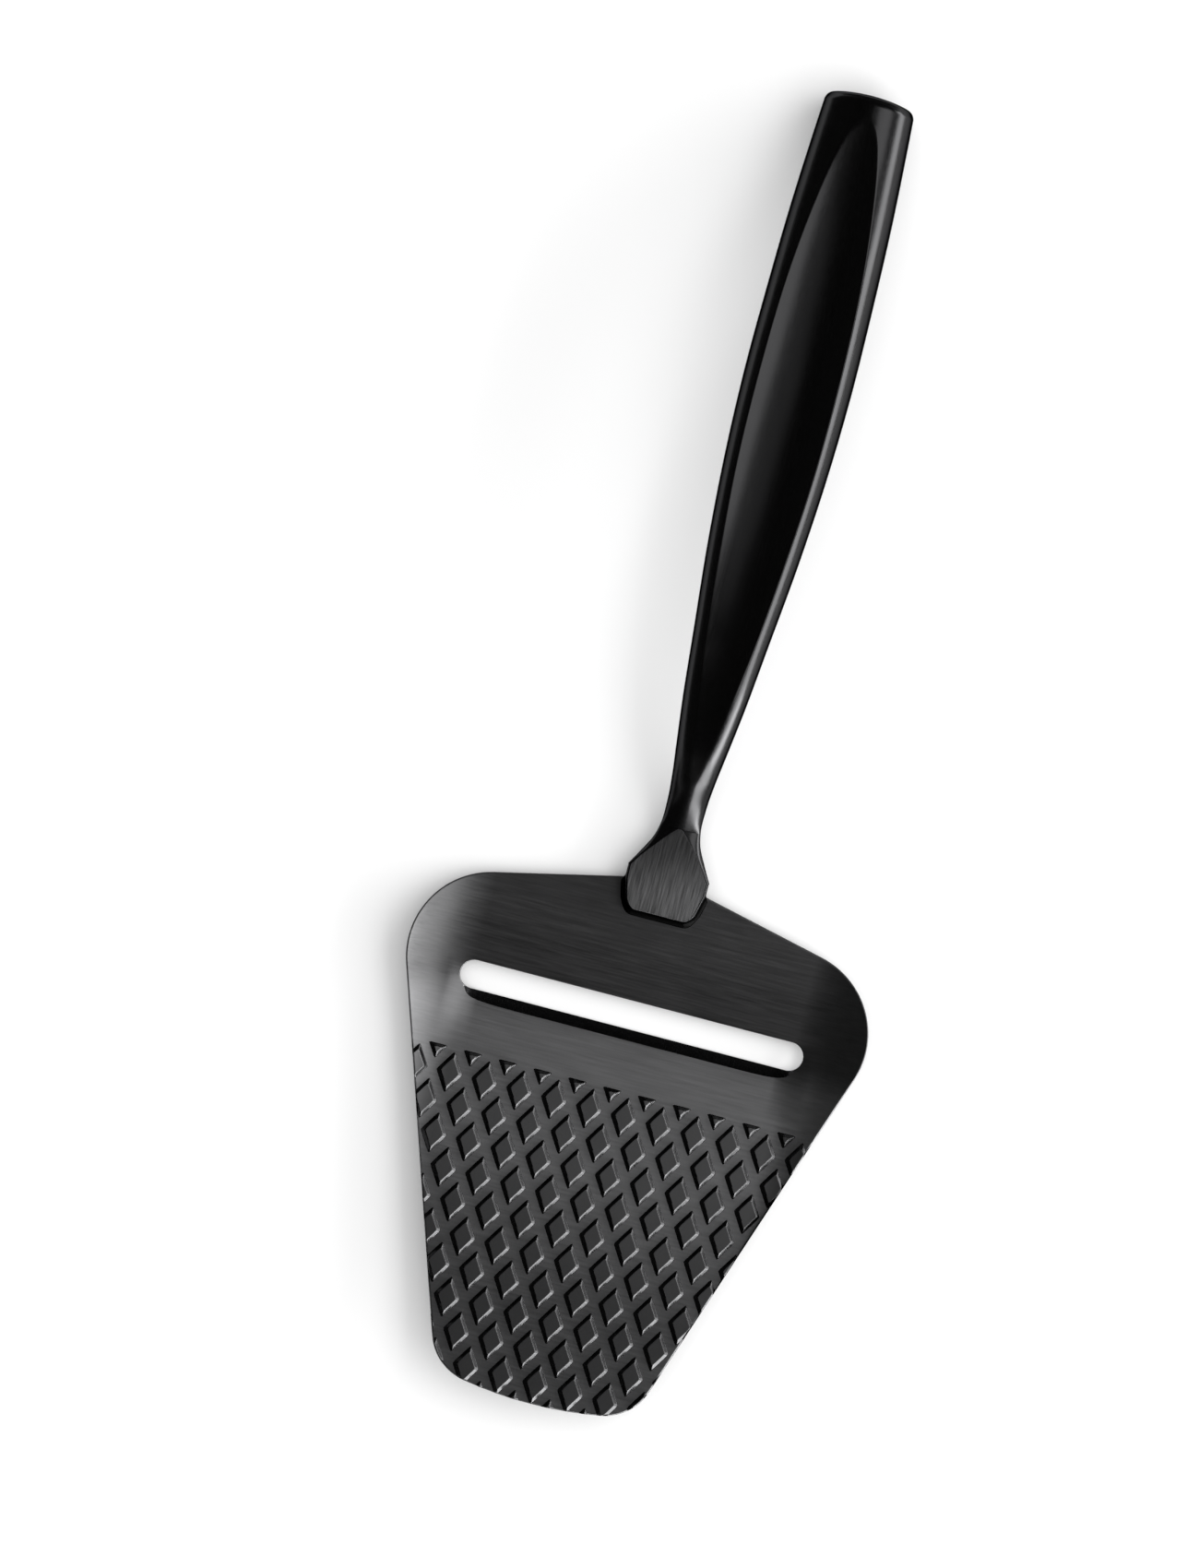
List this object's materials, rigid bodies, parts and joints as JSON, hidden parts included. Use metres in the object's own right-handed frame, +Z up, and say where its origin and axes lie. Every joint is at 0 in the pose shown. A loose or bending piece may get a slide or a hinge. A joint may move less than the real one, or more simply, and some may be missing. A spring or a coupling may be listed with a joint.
{
  "type": "cheese slicer",
  "caption": "Hand-held cheese slicer: a black coated steel plate with curled wings, a bevelled slot and a diamond-studded tongue, welded to a hollow arched handle with a scooped top.",
  "frame": {"origin": "centre of the footprint on the table, with the slicer lying on its cutting edge and its handle's end", "axes": "+Y from the plate's tip toward the handle's end, +X to the right seen from above, +Z up"},
  "size_m": [0.08, 0.2288, 0.0198],
  "materials": {
    "plate_steel": "black coating over finely brushed stainless sheet",
    "handle_steel": "black coating over satin polished stainless steel",
    "weld_steel": "bare resistance-welded steel, hidden in the joint"
  },
  "bodies": {
    "root": {"blade_plate": "plate_steel", "neck_and_foot": "handle_steel", "handle_upper_shell": "handle_steel", "handle_lower_shell": "handle_steel", "weld_nuggets": "weld_steel"}
  },
  "joints": []
}
